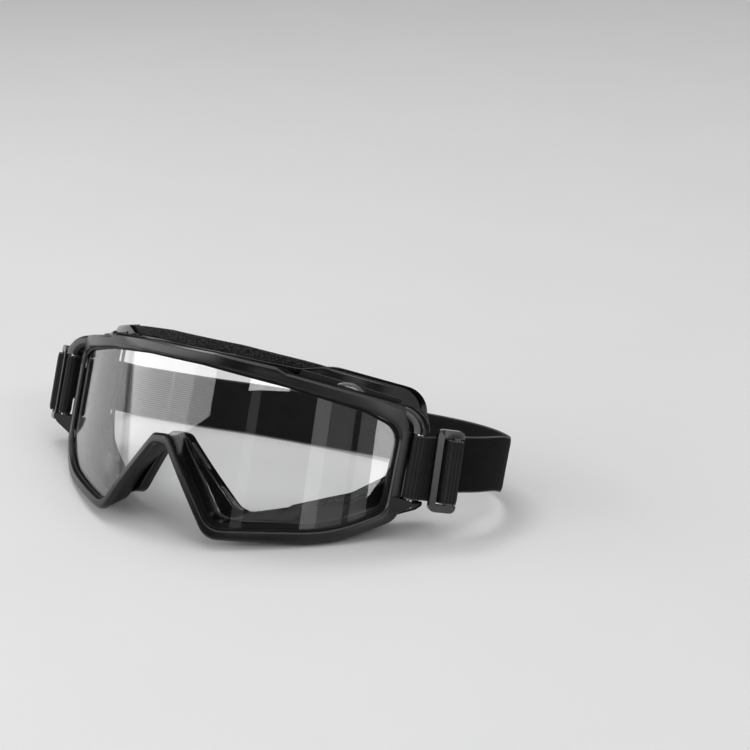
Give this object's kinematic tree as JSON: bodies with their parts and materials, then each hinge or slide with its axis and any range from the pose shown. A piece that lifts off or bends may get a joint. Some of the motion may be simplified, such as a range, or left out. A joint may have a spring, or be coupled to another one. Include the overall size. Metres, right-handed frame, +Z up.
{
  "type": "goggles",
  "caption": "Wraparound safety goggles with a clear lens in a dark vented frame, a rubber face skirt with foam, and an elastic headband on post loops with sliders.",
  "frame": {"origin": "Middle of the underside of the whole outline, on the table. The lens middle is 58 mm in front of it.", "axes": "+X points right as seen from the front, -Y is the front, +Z is up. Rest pose: lying on a table, leaning back 20 degrees on the lower edge of the bezel and on the back run of the headband."},
  "size_m": [0.2406, 0.1356, 0.0829],
  "materials": {
    "bezel_plastic": "satin, bright where edges catch light",
    "clear_lens": "clear and polished",
    "gasket_rubber": "matt",
    "carrier_plastic": "satin",
    "skirt_rubber": "glossy soft rubber",
    "face_foam": "speckled open foam",
    "pin_steel": "plain",
    "webbing": "ribbed lengthwise",
    "slider_plastic": "polished",
    "elastic": "fine woven elastic"
  },
  "bodies": {
    "goggle_frame": {"front_bezel": "bezel_plastic", "lens": "clear_lens", "lens_gasket": "gasket_rubber", "frame_body": "carrier_plastic", "vent_cover_left": "carrier_plastic", "vent_cover_right": "carrier_plastic", "face_skirt": "skirt_rubber", "face_foam": "face_foam", "strap_anchor_left": "carrier_plastic", "strap_anchor_right": "carrier_plastic", "post_pin_left": "pin_steel", "post_pin_right": "pin_steel", "headband": "elastic"},
    "strap_end_right": {"strap_loop_right": "webbing"},
    "strap_end_left": {"strap_loop_left": "webbing"},
    "slider_right": {"slider_right": "slider_plastic"},
    "slider_left": {"slider_left": "slider_plastic"}
  },
  "joints": [
    {"name": "strap_swing_right", "type": "hinge", "parent": "goggle_frame", "child": "strap_end_right", "pos_m": [0.09848, -0.00486, 0.03177], "axis": [0, 0.342, 0.9397], "range_deg": [-30, 35], "stiffness_Nm_per_rad": 0.05, "deforming": ["headband"]},
    {"name": "slider_travel_right", "type": "slide", "parent": "strap_end_right", "child": "slider_right", "axis": [0.7187, 0.6671, -0.1964], "range_m": [-0.002, 0.008], "deforming": ["headband", "strap_loop_right"]},
    {"name": "strap_swing_left", "type": "hinge", "parent": "goggle_frame", "child": "strap_end_left", "pos_m": [-0.09852, -0.00486, 0.03177], "axis": [0, -0.342, -0.9397], "range_deg": [-30, 35], "stiffness_Nm_per_rad": 0.05, "deforming": ["headband"]},
    {"name": "slider_travel_left", "type": "slide", "parent": "strap_end_left", "child": "slider_left", "axis": [-0.7187, 0.6372, -0.2784], "range_m": [-0.002, 0.008], "deforming": ["headband", "strap_loop_left"]}
  ]
}
